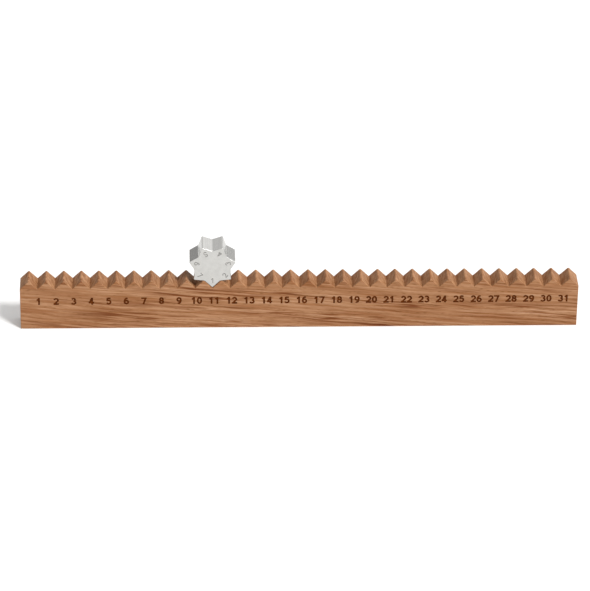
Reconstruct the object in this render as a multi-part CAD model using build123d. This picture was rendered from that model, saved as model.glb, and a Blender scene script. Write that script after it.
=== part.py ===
from build123d import *
import os
from math import cos, pi, radians, sin, tan

# Perpetual calendar: a notched oak bar with one notch for each day of the month, and a loose
# aluminium star with one point for each day of the week. The star stands with a point in the
# date's notch, and rolling it into the next notch moves the date and the weekday on together.
# The bar lies along X with its numbered face towards -Y and rests on Z = 0, with the origin
# in the middle of its underside. Sizes are in millimetres, angles in degrees.

# Driving dimensions of the bar
DAYS = 31  # notches
PITCH = 12.5  # from one notch to the next
NOTCH_ANGLE = 90.0  # between the two flanks of a notch
NOTCH_FLOOR = 33.0  # height of the notch bottoms
BAR_DEPTH = 16.0  # from the numbered face to the back
RIDGE_RADIUS = 1.0  # sanded top of the ridge between two notches
BAR_EDGE_RADIUS = 0.6  # eased edges of the underside and the two ends
RIDGE_EDGE_BREAK = 0.3  # sanded corners where the ridges meet the numbered face and the back

# Driving dimensions of the star
WEEKDAYS = 7  # points
STAR_WIDTH = 17.25  # from its front face to its back face
POINT_RADIUS = 0.8  # rounded end of each point
CORNER_RADIUS = 1.2  # fillet of the hollow between two points
STAR_EDGE_BREAK = 0.35  # chamfer round both faces

# How the star sits on the bar
DATE = 11  # notch that holds the star
SEAT_CLEARANCE = 0.25  # from a point's flanks to the flanks of its notch
RIDGE_CLEARANCE = 0.15  # from the star's hollows to the ridges beside that notch
STAR_SETBACK = 0.75  # from the numbered face of the bar to the star's front face

# The rack form that the bar and the star share
half_notch = radians(NOTCH_ANGLE / 2)
half_pitch = PITCH / 2
notch_depth = half_pitch / tan(half_notch)
ridge_height = NOTCH_FLOOR + notch_depth
bar_length = (DAYS + 1) * PITCH

# The star's points have the notch's angle, and its radius is the one at which the flank of
# the next point passes over the rounded ridge with the ridge clearance left between them
half_step = pi / WEEKDAYS
flank_rise = 2 * half_step - half_notch
seat_lift = SEAT_CLEARANCE / sin(half_notch)
ridge_drop = seat_lift - notch_depth + RIDGE_RADIUS / sin(half_notch)
ridge_reach = half_pitch * sin(flank_rise) + ridge_drop * cos(flank_rise)
star_radius = (RIDGE_RADIUS + RIDGE_CLEARANCE - ridge_reach) / (cos(flank_rise) - sin(half_notch))
hollow_radius = star_radius * tan(half_notch) / (sin(half_step) + tan(half_notch) * cos(half_step))

# Where the star stands, and the axis about which it rolls over the ridge into the next notch
star_x = DATE * PITCH - bar_length / 2
star_y = STAR_SETBACK + (STAR_WIDTH - BAR_DEPTH) / 2
star_z = NOTCH_FLOOR + star_radius + seat_lift
roll_x = star_x + half_pitch
roll_z = star_z - half_pitch / tan(half_step)


def rack_outline():
    """Side view of the bar: a flat underside, square ends and a row of rounded ridges."""
    left = -bar_length / 2
    ridges = [(left + (tooth + 0.5) * PITCH, ridge_height) for tooth in range(DAYS + 1)]
    floors = [(left + notch * PITCH, NOTCH_FLOOR) for notch in range(1, DAYS + 1)]
    top = sorted(ridges + floors)
    corners = [(left, 0), (left, NOTCH_FLOOR), *top, (-left, NOTCH_FLOOR), (-left, 0)]
    outline = make_face(Polyline(*corners, close=True))
    ridge_tops = outline.vertices().filter_by_position(Axis.Y, ridge_height, ridge_height)
    return fillet(ridge_tops, RIDGE_RADIUS)


def star_outline():
    """Star about its own centre, with one point straight down."""
    corners = []
    for corner in range(2 * WEEKDAYS):
        turn = corner * half_step - pi / 2
        reach = hollow_radius if corner % 2 else star_radius
        corners.append((reach * cos(turn), reach * sin(turn)))
    outline = make_face(Polyline(*corners, close=True))
    by_reach = outline.vertices().sort_by_distance((0, 0, 0))
    outline = fillet(by_reach[WEEKDAYS:], POINT_RADIUS)
    hollows = outline.vertices().sort_by_distance((0, 0, 0))[:WEEKDAYS]
    return fillet(hollows, CORNER_RADIUS)


def make_rack():
    """The bar: an eased blank with the rack sawn and sanded across its top."""
    blank = Pos(0, 0, ridge_height / 2) * Box(bar_length, BAR_DEPTH, ridge_height)
    underside = blank.faces().sort_by(Axis.Z)[0].edges()
    uprights = blank.edges().filter_by(Axis.Z)
    blank = fillet(underside + uprights, BAR_EDGE_RADIUS)
    toothed = extrude(Plane.XZ * rack_outline(), amount=BAR_DEPTH, both=True)
    rack = blank & toothed
    faces = rack.faces().sort_by(Axis.Y)
    outlines = faces[0].edges() + faces[-1].edges()
    arrises = outlines.filter_by_position(Axis.Z, NOTCH_FLOOR, ridge_height)
    return chamfer(arrises, RIDGE_EDGE_BREAK)


def make_cog():
    """The star: a cast prism with broken edges, standing in the date's notch."""
    prism = extrude(Plane.XZ * star_outline(), amount=STAR_WIDTH / 2, both=True)
    faces = prism.faces().sort_by(Axis.Y)
    cog = chamfer(faces[0].edges() + faces[-1].edges(), STAR_EDGE_BREAK)
    return Pos(star_x, star_y, star_z) * cog


os.makedirs("parts", exist_ok=True)
for name, solid in (("rack", make_rack()), ("cog", make_cog())):
    solid.label = name
    export_step(solid, f"parts/{name}.step")
print(f"roll axis at x {roll_x:.4f}, z {roll_z:.4f}, step {360 / WEEKDAYS:.6f} degrees")
print(f"star radius {star_radius:.3f}, centre at x {star_x:.3f}, y {star_y:.3f}, z {star_z:.4f}")
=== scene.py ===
from math import cos, pi, radians, sin, tan

import bmesh
import bpy
from mathutils import Matrix, Quaternion, Vector


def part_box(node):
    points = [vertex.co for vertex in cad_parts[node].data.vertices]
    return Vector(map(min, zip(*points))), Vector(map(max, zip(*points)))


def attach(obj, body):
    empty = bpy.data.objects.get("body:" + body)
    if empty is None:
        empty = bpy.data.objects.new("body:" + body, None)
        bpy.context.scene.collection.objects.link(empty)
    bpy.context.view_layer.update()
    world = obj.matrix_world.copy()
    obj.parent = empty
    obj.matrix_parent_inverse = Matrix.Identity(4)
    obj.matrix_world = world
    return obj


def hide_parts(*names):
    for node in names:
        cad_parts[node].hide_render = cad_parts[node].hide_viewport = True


# Looks of the perpetual calendar: an oiled oak bar with thirty-one notches and burnt dates, and
# the cast aluminium star that stands in one of them. Places are in metres, in the CAD frame: X
# runs along the bar, Y from its numbered front to its back, and Z up from the floor.

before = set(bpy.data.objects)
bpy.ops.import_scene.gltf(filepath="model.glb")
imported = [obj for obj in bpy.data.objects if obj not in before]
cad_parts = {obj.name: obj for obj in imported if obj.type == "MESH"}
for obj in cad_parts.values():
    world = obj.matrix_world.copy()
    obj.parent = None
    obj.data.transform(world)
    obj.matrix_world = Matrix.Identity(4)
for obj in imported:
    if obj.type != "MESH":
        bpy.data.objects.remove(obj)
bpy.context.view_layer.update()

MM = 0.001
NEAR = 0.01 * MM  # places closer together than this count as one
bar_low, bar_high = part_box("rack")
star_low, star_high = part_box("cog")

# The bar
DAYS = 31
NOTCH_FLOOR = 33.0 * MM
HALF_NOTCH = radians(45)  # from the middle of a notch to its flank
RIDGE_RADIUS = 1.0 * MM
RIDGE_SEGMENTS = 6
BAR_ARRIS = 0.28 * MM  # sanded edges
BAR_ARRIS_SEGMENTS = 3
bar_length = bar_high.x - bar_low.x
pitch = bar_length / (DAYS + 1)
ridge_height = NOTCH_FLOOR + pitch / 2 / tan(HALF_NOTCH)

# The dates burnt into its front, in a row a little longer than the row of notches
DATE_SIZE = (3.85 * MM, 5.75 * MM)  # width and height of one digit
DATE_STROKE = 1.3 * MM
DATE_GAP = 0.35 * MM  # between two digits
DATE_START = 13.2 * MM  # from the left end of the bar to the middle of the first date
DATE_PITCH = 12.545 * MM
DATE_CENTRE = 22.85 * MM  # height of the row
DATE_DEPTH = 0.4 * MM

# The star, with points of the notch's angle
WEEKDAYS = 7
POINT_RADIUS = 0.8 * MM
CORNER_RADIUS = 1.2 * MM  # in the hollow between two points
STAR_SEGMENTS = 6
STAR_ARRIS = 0.15 * MM  # broken edges, flat so that they glint as thin lines
STAR_ARRIS_SEGMENTS = 1
half_step = pi / WEEKDAYS
tip_depth = POINT_RADIUS / sin(HALF_NOTCH)  # from a sharp tip to the centre of its rounding
star_height = star_high.z - star_low.z
star_radius = (star_height - 2 * POINT_RADIUS) / (1 + cos(half_step)) + tip_depth
hollow_radius = star_radius * tan(HALF_NOTCH) / (sin(half_step) + tan(HALF_NOTCH) * cos(half_step))
star_centre_x = (star_low.x + star_high.x) / 2
star_centre_z = star_low.z + star_radius - tip_depth + POINT_RADIUS
star_centre = Vector((star_centre_x, 0, star_centre_z))

# The weekday numbers sunk in the star's front, each upright when its point is down
WEEKDAY_SIZE = (2.6 * MM, 4.0 * MM)
WEEKDAY_STROKE = 0.58 * MM
WEEKDAY_REACH = 11.4 * MM  # from the centre of the star
WEEKDAY_DEPTH = 0.3 * MM

# Round strokes of all numbers are drawn in steps of this many degrees
ARC_STEP = 15

# Oak: where the bar lay in its trunk, how its grain slopes down to the right and wanders, its rings
OAK_PITH = (0.0, 30 * MM, -80 * MM)
PITH_DISTANCE = 100 * MM  # from the pith to about the middle of the bar
GRAIN_START = (1005 * MM, 0.0, 0.0)  # how far up the trunk
GRAIN_SLOPE = radians(5)
GRAIN_WANDER = 8.0 * MM
WANDER_SIZE = (130 * MM, 26 * MM, 26 * MM)
WANDER_DETAIL = 3.0
RING_WIDTH = 3.0 * MM
RING_UNEVENNESS = 1.6  # in rings
LOOSE_LINES = 0.25  # share of the early wood's lines that show outside the bundles
GRAIN_RAGGEDNESS = 0.6

# Figures of the oak: length along the grain, width out from the pith, run round it, and detail.
# Real fibres, rows of pores and rays are finer than a pixel, so the finest stand for groups of them.
OAK_FIGURES = {
    "uneven rings": ((300 * MM, 8 * MM, 60 * MM), 2.0),
    "wide bands": ((150 * MM, 9 * MM, 60 * MM), 2.0),
    "narrow bands": ((60 * MM, 2.8 * MM, 22 * MM), 2.0),
    "bundles": ((140 * MM, 9 * MM, 60 * MM), 1.0),
    "dark lines": ((90 * MM, 2.4 * MM, 22 * MM), 1.0),
    "early lines": ((26 * MM, 0.85 * MM, 6 * MM), 2.0),
    "fibres": ((14 * MM, 0.55 * MM, 1.6 * MM), 2.0),
    "end arcs": ((6 * MM, 0.8 * MM, 4.5 * MM), 2.0),
    "end rays": ((12 * MM, 6 * MM, 0.5 * MM), 1.0),
}
PORE_SPACING = (5.0 * MM, 0.75 * MM, 0.75 * MM)

# Patterns of the other finishes, and the roughness of the star's rubbed edges
CHAR_GRAIN = (2.5 * MM, 0.7 * MM, 0.7 * MM)
DRAW_LINE = (0.8 * MM, 22 * MM, 0.8 * MM)
SKIN_MOTTLE = 4 * MM
DULL_MOTTLE = 0.5 * MM
EDGE_ROUGHNESS = 0.48

# Numbers of the sockets of a Mix node, several of which share a name
FIRST_VALUE, SECOND_VALUE = 2, 3
FIRST_COLOUR, SECOND_COLOUR = 6, 7
MIXED_COLOUR = 2

# Light: a key lamp from the front right, and a surround that is brighter on the right than on the
# left and has a bright band, given here from the horizon up to straight above
KEY_DIRECTION = Vector((0.453, -0.434, 0.777))  # towards the lamp
KEY_ANGLE = radians(13)
KEY_LEVEL = 0.9
LEFT_LEVEL = 0.37
RIGHT_LEVEL = 1.73
SURROUND_BAND = (
    (0.0, "#AAAAAA"), (0.17, "#A6A6A6"), (0.35, "#FFFFFF"),
    (0.58, "#FFFFFF"), (0.7, "#A6A6A6"), (1.0, "#9A9A9A"),
)
FLOOR_REACH = 8.0  # from its middle to its edges
FLOOR_GLOW = 0.14

# Camera, for a picture of this width in pixels
IMAGE_WIDTH = 590
FOCAL_PIXELS = 3746.8
SENSOR_WIDTH = 36.0  # in millimetres
CAMERA_AZIMUTH = radians(-2.279)
CAMERA_ELEVATION = radians(31.441)
CAMERA_ROLL = radians(0.820)
CAMERA_DISTANCE = 2.6944
CAMERA_AIM = Vector((-0.00301, 0.00170, 0.02058))


def linear(code):
    """Scene-linear colour of an sRGB hex code."""
    parts = [int(code[i:i + 2], 16) / 255 for i in (1, 3, 5)]
    return tuple(p / 12.92 if p <= 0.04045 else ((p + 0.055) / 1.055) ** 2.4 for p in parts) + (1.0,)


def add(tree, kind, inputs=None, stops=(), **settings):
    """Adds a node with its settings and colour stops, and its inputs as values, sockets or nodes."""
    made = tree.nodes.new(kind)
    for name, value in settings.items():
        setattr(made, name, value)
    if stops:
        elements = made.color_ramp.elements
        elements.remove(elements[0])
        elements[0].position = stops[0][0]
        elements[0].color = linear(stops[0][1])
        for place, code in stops[1:]:
            elements.new(place).color = linear(code)
    for socket, value in (inputs or {}).items():
        if isinstance(value, bpy.types.Node):
            value = value.outputs[0]
        if isinstance(value, bpy.types.NodeSocket):
            tree.links.new(value, made.inputs[socket])
        else:
            made.inputs[socket].default_value = value
    return made


def new_material(name):
    """Material with an empty node tree."""
    material = bpy.data.materials.new(name)
    material.use_nodes = True
    material.node_tree.nodes.clear()
    return material, material.node_tree


def per_metre(size):
    """Scale at which a pattern that repeats once in a unit has this size."""
    return tuple(1 / side for side in size)


def facing(tree, axis):
    """How squarely the surface faces along an axis, either way, from 0 to 1."""
    normal = add(tree, "ShaderNodeNewGeometry").outputs["Normal"]
    parts = add(tree, "ShaderNodeSeparateXYZ", {"Vector": normal}).outputs
    return add(tree, "ShaderNodeMath", {0: parts[axis]}, operation="ABSOLUTE")


def oiled_oak():
    """Oak, sawn, sanded and oiled."""
    # Gives the eye a warm brown with a low sheen: wavy lines, fibres and short dark pores along the
    # grain, and a darker face with arcs, fine rays and dots where it is cut across
    material, tree = new_material("oiled_oak")
    place = add(tree, "ShaderNodeTexCoord").outputs["Object"]

    # The grain slopes along the bar, and wanders up and down and in and out
    turned = {"Vector": place, "Location": GRAIN_START, "Rotation": (0, -GRAIN_SLOPE, 0)}
    sloping = add(tree, "ShaderNodeMapping", turned)
    drawn = add(tree, "ShaderNodeMapping", {"Vector": sloping, "Scale": per_metre(WANDER_SIZE)})
    slow = {"Vector": drawn, "Scale": 1.0, "Detail": WANDER_DETAIL, "Roughness": GRAIN_RAGGEDNESS}
    waves = add(tree, "ShaderNodeTexNoise", slow).outputs["Color"]
    reach = {0: waves, 1: (0, GRAIN_WANDER, GRAIN_WANDER), 2: (0, -GRAIN_WANDER / 2, -GRAIN_WANDER / 2)}
    wander = add(tree, "ShaderNodeVectorMath", reach, operation="MULTIPLY_ADD")
    grain = add(tree, "ShaderNodeVectorMath", {0: sloping, 1: wander}, operation="ADD")

    # Places in the trunk: along the grain, out from the pith and round it
    from_pith = add(tree, "ShaderNodeVectorMath", {0: grain, 1: OAK_PITH}, operation="SUBTRACT")
    radial = add(tree, "ShaderNodeVectorMath", {0: from_pith, 1: (0, 1, 1)}, operation="MULTIPLY")
    radius = add(tree, "ShaderNodeVectorMath", {0: radial}, operation="LENGTH").outputs["Value"]
    offsets = add(tree, "ShaderNodeSeparateXYZ", {"Vector": from_pith}).outputs
    angle = add(tree, "ShaderNodeMath", {0: offsets["Y"], 1: offsets["Z"]}, operation="ARCTAN2")
    round_pith = add(tree, "ShaderNodeMath", {0: angle, 1: PITH_DISTANCE}, operation="MULTIPLY")
    trunk = add(tree, "ShaderNodeCombineXYZ", {"X": offsets["X"], "Y": radius, "Z": round_pith})

    # The figures are noise in the trunk, drawn out to their sizes
    figures = {}
    for name, (size, detail) in OAK_FIGURES.items():
        drawn = add(tree, "ShaderNodeMapping", {"Vector": trunk, "Scale": per_metre(size)})
        noise = {"Vector": drawn, "Scale": 1.0, "Detail": detail, "Roughness": GRAIN_RAGGEDNESS}
        figures[name] = add(tree, "ShaderNodeTexNoise", noise)

    # Growth rings of uneven width: each starts with dark early wood and pales outwards
    count = add(tree, "ShaderNodeMath", {0: radius, 1: RING_WIDTH}, operation="DIVIDE")
    uneven = {0: figures["uneven rings"], 1: RING_UNEVENNESS, 2: count}
    ring = add(tree, "ShaderNodeMath", uneven, operation="MULTIPLY_ADD")
    phase = add(tree, "ShaderNodeMath", {0: ring}, operation="FRACT")
    ring_stops = (
        (0.0, "#B68A66"), (0.3, "#B98F6E"), (0.6, "#C09676"), (0.92, "#C49B7C"), (1.0, "#BB906E"),
    )
    tone = add(tree, "ShaderNodeValToRGB", {"Fac": phase}, ring_stops)
    early = {"Value": phase, "From Min": 0.15, "From Max": 0.6, "To Min": 0.9, "To Max": 0.25}
    early_wood = add(tree, "ShaderNodeMapRange", early)

    # Broad bands, thin dark lines in bundles, lines that crowd in the early wood, then fine fibres
    bundle = {"Value": figures["bundles"], "From Min": 0.44, "From Max": 0.6, "To Min": 0.05}
    bundles = add(tree, "ShaderNodeMapRange", bundle)
    share = {0: bundles, 1: 1 - LOOSE_LINES, 2: LOOSE_LINES}
    busy = add(tree, "ShaderNodeMath", share, operation="MULTIPLY_ADD")
    busy_early = add(tree, "ShaderNodeMath", {0: busy, 1: early_wood}, operation="MULTIPLY")
    wide_stops = ((0.3, "#E0D0BE"), (0.5, "#F3EBE1"), (0.7, "#FFFFFF"))
    line_stops = ((0.44, "#FFFFFF"), (0.485, "#BC9A76"), (0.515, "#BC9A76"), (0.56, "#FFFFFF"))
    layers = (
        ("wide bands", wide_stops, 1.0),
        ("narrow bands", ((0.36, "#E8D8C6"), (0.5, "#FFFFFF")), 1.0),
        ("dark lines", line_stops, bundles),
        ("early lines", ((0.34, "#C4A582"), (0.52, "#FFFFFF")), busy_early),
        ("fibres", ((0.3, "#D4C6B4"), (0.7, "#FFFFFF")), 1.0),
    )
    for name, stops, strength in layers:
        shade = add(tree, "ShaderNodeValToRGB", {"Fac": figures[name]}, stops)
        layer = {"Factor": strength, FIRST_COLOUR: tone, SECOND_COLOUR: shade}
        mixed = add(tree, "ShaderNodeMix", layer, data_type="RGBA", blend_type="MULTIPLY")
        tone = mixed.outputs[MIXED_COLOUR]

    # Cut across the grain, in the notches and at the ends, it takes more oil and shows arcs and rays
    arc_stops = ((0.36, "#815531"), (0.64, "#B68A65"))
    arcs = add(tree, "ShaderNodeValToRGB", {"Fac": figures["end arcs"]}, arc_stops)
    ray_stops = ((0.54, "#FFFFFF"), (0.66, "#E2CDB6"))
    rays = add(tree, "ShaderNodeValToRGB", {"Fac": figures["end rays"]}, ray_stops)
    rayed = {"Factor": 1.0, FIRST_COLOUR: arcs, SECOND_COLOUR: rays}
    end_grain = add(tree, "ShaderNodeMix", rayed, data_type="RGBA", blend_type="MULTIPLY")
    cross = {"Value": facing(tree, "X"), "From Min": 0.2, "From Max": 0.7, "To Max": 0.6}
    crossing = add(tree, "ShaderNodeMapRange", cross)
    cut = {"Factor": crossing, FIRST_COLOUR: tone, SECOND_COLOUR: end_grain.outputs[MIXED_COLOUR]}
    tone = add(tree, "ShaderNodeMix", cut, data_type="RGBA").outputs[MIXED_COLOUR]

    # Pores are a fifth of a millimetre wide and too fine to show, so they are drawn about twice as wide
    pore_place = add(tree, "ShaderNodeMapping", {"Vector": trunk, "Scale": per_metre(PORE_SPACING)})
    nearest = add(tree, "ShaderNodeTexVoronoi", {"Vector": pore_place, "Scale": 1.0})
    dash = {"Value": nearest, "From Min": 0.14, "From Max": 0.36, "To Min": 0.85, "To Max": 0.0}
    dashes = add(tree, "ShaderNodeMapRange", dash)
    pores = add(tree, "ShaderNodeMath", {0: dashes, 1: early_wood}, operation="MULTIPLY")
    pored = {"Factor": pores, FIRST_COLOUR: tone, SECOND_COLOUR: linear("#6E4420")}
    colour = add(tree, "ShaderNodeMix", pored, data_type="RGBA").outputs[MIXED_COLOUR]

    rough = add(tree, "ShaderNodeMapRange", {"Value": figures["fibres"], "To Min": 0.48, "To Max": 0.66})
    height = add(tree, "ShaderNodeMath", {0: figures["fibres"], 1: pores}, operation="SUBTRACT")
    bump = add(tree, "ShaderNodeBump", {"Height": height, "Strength": 0.4, "Distance": 0.1 * MM})
    surface = {
        "Base Color": colour, "Roughness": rough, "Normal": bump,
        "IOR": 1.5, "Specular IOR Level": 0.15,
    }
    shader = add(tree, "ShaderNodeBsdfPrincipled", surface)
    add(tree, "ShaderNodeOutputMaterial", {"Surface": shader})
    return material


def burnt_oak():
    """Oak, charred by a hot die."""
    # Gives the eye a warm dark brown, matt and a little uneven along the grain
    material, tree = new_material("burnt_oak")
    place = add(tree, "ShaderNodeTexCoord").outputs["Object"]
    grain = add(tree, "ShaderNodeMapping", {"Vector": place, "Scale": per_metre(CHAR_GRAIN)})
    char = add(tree, "ShaderNodeTexNoise", {"Vector": grain, "Scale": 1.0, "Detail": 2.0})
    colour = add(tree, "ShaderNodeValToRGB", {"Fac": char}, ((0.3, "#421B02"), (0.7, "#6C340A")))
    surface = {"Base Color": colour, "Roughness": 0.9, "Specular IOR Level": 0.1}
    shader = add(tree, "ShaderNodeBsdfPrincipled", surface)
    add(tree, "ShaderNodeOutputMaterial", {"Surface": shader})
    return material


def cast_aluminium():
    """Aluminium, cast in a die and tumbled."""
    # Gives the eye a clean pale grey with soft reflections: faces with a faint mottle, flanks with
    # draw lines along their depth, drawn coarser than real ones so that they show, and edges that
    # are rubbed duller and glint more evenly
    material, tree = new_material("cast_aluminium")
    place = add(tree, "ShaderNodeTexCoord").outputs["Object"]
    drawn = add(tree, "ShaderNodeMapping", {"Vector": place, "Scale": per_metre(DRAW_LINE)})
    lines = add(tree, "ShaderNodeTexNoise", {"Vector": drawn, "Scale": 1.0, "Detail": 3.0})
    broad = add(tree, "ShaderNodeTexNoise", {"Vector": place, "Scale": 1 / SKIN_MOTTLE, "Detail": 2.0})
    square = facing(tree, "Y")
    flank = {"Value": square, "From Min": 0.1, "From Max": 0.4, "To Min": 1.0, "To Max": 0.0}
    flanks = add(tree, "ShaderNodeMapRange", flank)
    pattern = add(tree, "ShaderNodeMix", {"Factor": flanks, FIRST_VALUE: broad, SECOND_VALUE: lines})
    colour = add(tree, "ShaderNodeValToRGB", {"Fac": pattern}, ((0.3, "#C2C1BE"), (0.7, "#CAC9C6")))
    skin = add(tree, "ShaderNodeMapRange", {"Value": broad, "To Min": 0.16, "To Max": 0.22})
    edge_stops = ((0.4, "#000000"), (0.6, "#FFFFFF"), (0.85, "#FFFFFF"), (0.95, "#000000"))
    edges = add(tree, "ShaderNodeValToRGB", {"Fac": square}, edge_stops)
    rubbed = {"Factor": edges, FIRST_VALUE: skin, SECOND_VALUE: EDGE_ROUGHNESS}
    rough = add(tree, "ShaderNodeMix", rubbed)
    bump = add(tree, "ShaderNodeBump", {"Height": lines, "Strength": flanks, "Distance": 0.007 * MM})
    surface = {
        "Base Color": colour, "Metallic": 1.0, "Roughness": rough, "Normal": bump,
        "Specular Tint": linear("#F0F0F0"),
    }
    shader = add(tree, "ShaderNodeBsdfPrincipled", surface)
    add(tree, "ShaderNodeOutputMaterial", {"Surface": shader})
    return material


def dull_aluminium():
    """Aluminium, cast, in the sunk numbers that no tumbling reaches."""
    # Gives the eye a darker, rough grey, with its cast grit drawn coarser than it is so that it shows
    material, tree = new_material("dull_aluminium")
    place = add(tree, "ShaderNodeTexCoord").outputs["Object"]
    mottle = add(tree, "ShaderNodeTexNoise", {"Vector": place, "Scale": 1 / DULL_MOTTLE, "Detail": 2.0})
    colour = add(tree, "ShaderNodeValToRGB", {"Fac": mottle}, ((0.3, "#A09F9C"), (0.7, "#B4B3B0")))
    surface = {"Base Color": colour, "Metallic": 1.0, "Roughness": 0.6}
    shader = add(tree, "ShaderNodeBsdfPrincipled", surface)
    add(tree, "ShaderNodeOutputMaterial", {"Surface": shader})
    return material


def white_paper():
    """Paper, matt and white."""
    # Gives the eye a plain white ground that keeps the shadow: a little glow brings it up to white,
    # which shows to the eye and in the metal but lights nothing
    material, tree = new_material("white_paper")
    rays = add(tree, "ShaderNodeLightPath").outputs
    shown = rays["Is Camera Ray"]
    for kind in ("Is Glossy Ray", "Is Transmission Ray"):
        shown = add(tree, "ShaderNodeMath", {0: shown, 1: rays[kind]}, operation="MAXIMUM")
    glow = add(tree, "ShaderNodeMath", {0: shown, 1: FLOOR_GLOW}, operation="MULTIPLY")
    surface = {
        "Base Color": linear("#E9E9E8"), "Roughness": 1.0, "Specular IOR Level": 0.0,
        "Emission Color": linear("#FFFFFF"), "Emission Strength": glow,
    }
    shader = add(tree, "ShaderNodeBsdfPrincipled", surface)
    add(tree, "ShaderNodeOutputMaterial", {"Surface": shader})
    return material


def new_object(name, bm, material):
    """Object at the origin that holds a finished bmesh."""
    mesh = bpy.data.meshes.new(name)
    bm.to_mesh(mesh)
    bm.free()
    mesh.materials.append(material)
    made = bpy.data.objects.new(name, mesh)
    bpy.context.scene.collection.objects.link(made)
    return made


def push_back(bm, grown, depth):
    """Moves the new vertices of an extrusion towards the back."""
    moved = [part for part in grown["geom"] if isinstance(part, bmesh.types.BMVert)]
    bmesh.ops.translate(bm, verts=moved, vec=(0, depth, 0))


def prism(corners, low_y, high_y):
    """Closed prism of a side-view outline, from its front face to its back face."""
    bm = bmesh.new()
    outline = bm.faces.new([bm.verts.new((x, low_y, z)) for x, z in corners])
    push_back(bm, bmesh.ops.extrude_face_region(bm, geom=[outline]), high_y - low_y)
    bmesh.ops.recalc_face_normals(bm, faces=bm.faces)
    return bm


def across(edge):
    """True for an edge that runs from the front to the back."""
    return abs(edge.verts[0].co.y - edge.verts[1].co.y) > NEAR


def round_edges(bm, edges, offset, segments):
    """Rounds edges, or with one segment breaks them flat."""
    bmesh.ops.bevel(
        bm, geom=edges, offset=offset, offset_type="OFFSET", segments=segments, profile=0.5,
        affect="EDGES", material=-1,
    )


def arc(x, z, reach_x, reach_z, start, end):
    """Points along part of an ellipse, from one angle to another in degrees."""
    steps = round(abs(end - start) / ARC_STEP)
    turns = [radians(start + (end - start) * step / steps) for step in range(steps + 1)]
    return [(x + reach_x * cos(turn), z + reach_z * sin(turn)) for turn in turns]


def digit_lines(digit, over_x, over_z):
    """Lines of a plain digit in a unit box, which straight strokes may pass by half their width."""
    six = [arc(0.5, 0.3, 0.5, 0.3, 0, 360), arc(0.6, 0.42, 0.6, 0.58, 185, 65)]
    return {
        "0": [arc(0.5, 0.5, 0.5, 0.5, 0, 360)],
        "1": [[(0.62, -over_z), (0.62, 1 + over_z)], [(0.62, 1.0), (0.05, 0.7)]],
        "2": [arc(0.5, 0.7, 0.5, 0.3, 170, -30) + [(0.02, 0.02)], [(-over_x, 0), (1 + over_x, 0)]],
        "3": [arc(0.45, 0.76, 0.45, 0.24, 160, -90), arc(0.45, 0.26, 0.55, 0.26, 90, -160)],
        "4": [
            [(0.74, -over_z), (0.74, 1 + over_z)],
            [(-over_x, 0.22), (1 + over_x, 0.22)],
            [(0.7, 1.06), (0, 0.24)],
        ],
        "5": [[(0.08, 1), (1, 1)], [(0.14, 1.08), (0.05, 0.46)], arc(0.45, 0.31, 0.52, 0.31, 140, -160)],
        "6": six,
        "7": [[(-over_x, 1), (1 + over_x, 1)], [(0.97, 1), (0.32, -over_z)]],
        "8": [arc(0.5, 0.77, 0.42, 0.23, 0, 360), arc(0.5, 0.27, 0.5, 0.27, 0, 360)],
        "9": [[(1 - x, 1 - z) for x, z in line] for line in six],
    }[digit]


def draw_number(bm, text, size, stroke, place, gap=0.0):
    """Draws a plain number as lines, about a place given by a matrix, and closes its rings."""
    width = size[0] - stroke
    height = size[1] - stroke
    advance = size[0] + gap
    for position, digit in enumerate(text):
        left = (position - (len(text) - 1) / 2) * advance - width / 2
        for line in digit_lines(digit, stroke / 2 / width, stroke / 2 / height):
            spots = [Vector((left + x * width, 0, (z - 0.5) * height)) for x, z in line]
            points = [bm.verts.new(place @ spot) for spot in spots]
            for first, second in zip(points, points[1:]):
                bm.edges.new((first, second))
            bmesh.ops.remove_doubles(bm, verts=points, dist=NEAR)


def stamp(piece, lines, stroke, depth, finish):
    """Sinks numbers, drawn as lines on its front, into a piece and gives the recess its own finish."""
    bmesh.ops.translate(lines, verts=lines.verts, vec=(0, -depth, 0))
    push_back(lines, bmesh.ops.extrude_edge_only(lines, edges=lines.edges), 2 * depth)
    die = new_object("die", lines, finish)
    thick = die.modifiers.new("stroke", "SOLIDIFY")
    thick.thickness = stroke
    thick.offset = 0
    thick.use_even_offset = True
    cut = piece.modifiers.new("stamp", "BOOLEAN")
    cut.operation = "DIFFERENCE"
    cut.object = die
    cut.solver = "EXACT"
    cut.use_self = True
    cut.material_mode = "TRANSFER"
    depsgraph = bpy.context.evaluated_depsgraph_get()
    mesh = bpy.data.meshes.new_from_object(piece.evaluated_get(depsgraph))
    piece.modifiers.clear()
    piece.data = mesh
    bpy.data.objects.remove(die)


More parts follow.
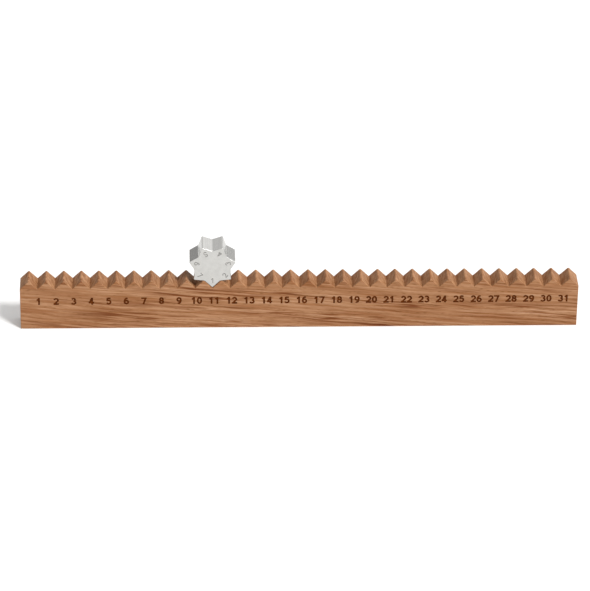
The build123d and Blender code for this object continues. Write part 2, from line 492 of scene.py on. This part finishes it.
def make_bar():
    """The notched oak bar, with rounded ridges, sanded edges and burnt dates."""
    left = bar_low.x
    corners = [(left, 0), (left, NOTCH_FLOOR)]
    for tooth in range(DAYS + 1):
        corners.append((left + (tooth + 0.5) * pitch, ridge_height))
        corners.append((left + (tooth + 1) * pitch, NOTCH_FLOOR))
    corners.append((bar_high.x, 0))
    bm = prism(corners, bar_low.y, bar_high.y)
    ridges = [e for e in bm.edges if across(e) and e.verts[0].co.z > ridge_height - NEAR]
    round_edges(bm, ridges, RIDGE_RADIUS / tan(HALF_NOTCH), RIDGE_SEGMENTS)
    ends = (bar_low.x, bar_high.x)
    corner_lines = [e for e in bm.edges if across(e) and e.verts[0].co.x in ends]
    outline = [e for e in bm.edges if not across(e)]
    round_edges(bm, outline + corner_lines, BAR_ARRIS, BAR_ARRIS_SEGMENTS)
    bar = new_object("oak_bar", bm, oiled_oak())

    dates = bmesh.new()
    for day in range(1, DAYS + 1):
        middle = left + DATE_START + (day - 1) * DATE_PITCH
        place = Matrix.Translation((middle, bar_low.y, DATE_CENTRE))
        draw_number(dates, str(day), DATE_SIZE, DATE_STROKE, place, DATE_GAP)
    stamp(bar, dates, DATE_STROKE, DATE_DEPTH, burnt_oak())
    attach(bar, "rack")
    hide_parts("rack")


def star_reach(edge):
    """Distance of an edge that runs from the front to the back from the star's middle line."""
    spot = edge.verts[0].co - star_centre
    return Vector((spot.x, spot.z)).length


def make_star():
    """The seven-pointed star, with rounded points, broken edges and sunk numbers."""
    corners = []
    for corner in range(2 * WEEKDAYS):
        turn = corner * half_step - pi / 2
        reach = hollow_radius if corner % 2 else star_radius
        corners.append((star_centre_x + reach * cos(turn), star_centre_z + reach * sin(turn)))
    bm = prism(corners, star_low.y, star_high.y)
    between = (star_radius + hollow_radius) / 2
    points = [e for e in bm.edges if across(e) and star_reach(e) > between]
    round_edges(bm, points, POINT_RADIUS / tan(HALF_NOTCH), STAR_SEGMENTS)
    hollows = [e for e in bm.edges if across(e) and abs(star_reach(e) - hollow_radius) < NEAR]
    hollow_turn = HALF_NOTCH - half_step  # half of the outline's turn in a hollow
    round_edges(bm, hollows, CORNER_RADIUS * tan(hollow_turn), STAR_SEGMENTS)
    outline = [e for e in bm.edges if not across(e)]
    round_edges(bm, outline, STAR_ARRIS, STAR_ARRIS_SEGMENTS)
    star = new_object("aluminium_star", bm, cast_aluminium())

    numbers = bmesh.new()
    outwards = Matrix.Translation((0, star_low.y, -WEEKDAY_REACH))
    for day in range(WEEKDAYS):
        turn = Matrix.Rotation(-2 * half_step * day, 4, "Y")
        place = Matrix.Translation(star_centre) @ turn @ outwards
        draw_number(numbers, str(day + 1), WEEKDAY_SIZE, WEEKDAY_STROKE, place)
    stamp(star, numbers, WEEKDAY_STROKE, WEEKDAY_DEPTH, dull_aluminium())
    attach(star, "cog")
    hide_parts("cog")


def make_studio():
    """White floor, a broad soft key light from the front right, and a pale surround."""
    bm = bmesh.new()
    bmesh.ops.create_grid(bm, x_segments=1, y_segments=1, size=FLOOR_REACH)
    floor = new_object("floor", bm, white_paper())

    # A sun of strength pi lights a white face that is square to it to full white
    lamp = bpy.data.lights.new("key", "SUN")
    lamp.energy = KEY_LEVEL * pi
    lamp.angle = KEY_ANGLE
    key = bpy.data.objects.new("key", lamp)
    key.rotation_mode = "QUATERNION"
    key.rotation_quaternion = KEY_DIRECTION.to_track_quat("Z", "Y")
    bpy.context.scene.collection.objects.link(key)

    world = bpy.data.worlds.new("surround")
    world.use_nodes = True
    tree = world.node_tree
    tree.nodes.clear()
    direction = add(tree, "ShaderNodeTexCoord").outputs["Generated"]
    along = add(tree, "ShaderNodeSeparateXYZ", {"Vector": direction}).outputs
    band = add(tree, "ShaderNodeValToRGB", {"Fac": along["Z"]}, SURROUND_BAND)
    sideways = {"Value": along["X"], "From Min": -1.0, "To Min": LEFT_LEVEL, "To Max": RIGHT_LEVEL}
    level = add(tree, "ShaderNodeMapRange", sideways)
    surround = add(tree, "ShaderNodeBackground", {"Color": band, "Strength": level})
    add(tree, "ShaderNodeOutputWorld", {"Surface": surround})
    bpy.context.scene.world = world


def make_camera():
    """Camera at the photograph's angle."""
    lens = bpy.data.cameras.new("camera")
    lens.sensor_fit = "HORIZONTAL"
    lens.sensor_width = SENSOR_WIDTH
    lens.lens = FOCAL_PIXELS / IMAGE_WIDTH * SENSOR_WIDTH
    camera = bpy.data.objects.new("camera", lens)
    back = Vector((
        sin(CAMERA_AZIMUTH) * cos(CAMERA_ELEVATION),
        -cos(CAMERA_AZIMUTH) * cos(CAMERA_ELEVATION),
        sin(CAMERA_ELEVATION),
    ))
    camera.location = CAMERA_AIM + CAMERA_DISTANCE * back
    camera.rotation_mode = "QUATERNION"
    camera.rotation_quaternion = (-back).to_track_quat("-Z", "Y") @ Quaternion((0, 0, 1), CAMERA_ROLL)
    bpy.context.scene.collection.objects.link(camera)
    bpy.context.scene.camera = camera


make_bar()
make_star()
make_studio()
make_camera()
bpy.context.scene.view_settings.view_transform = "Standard"
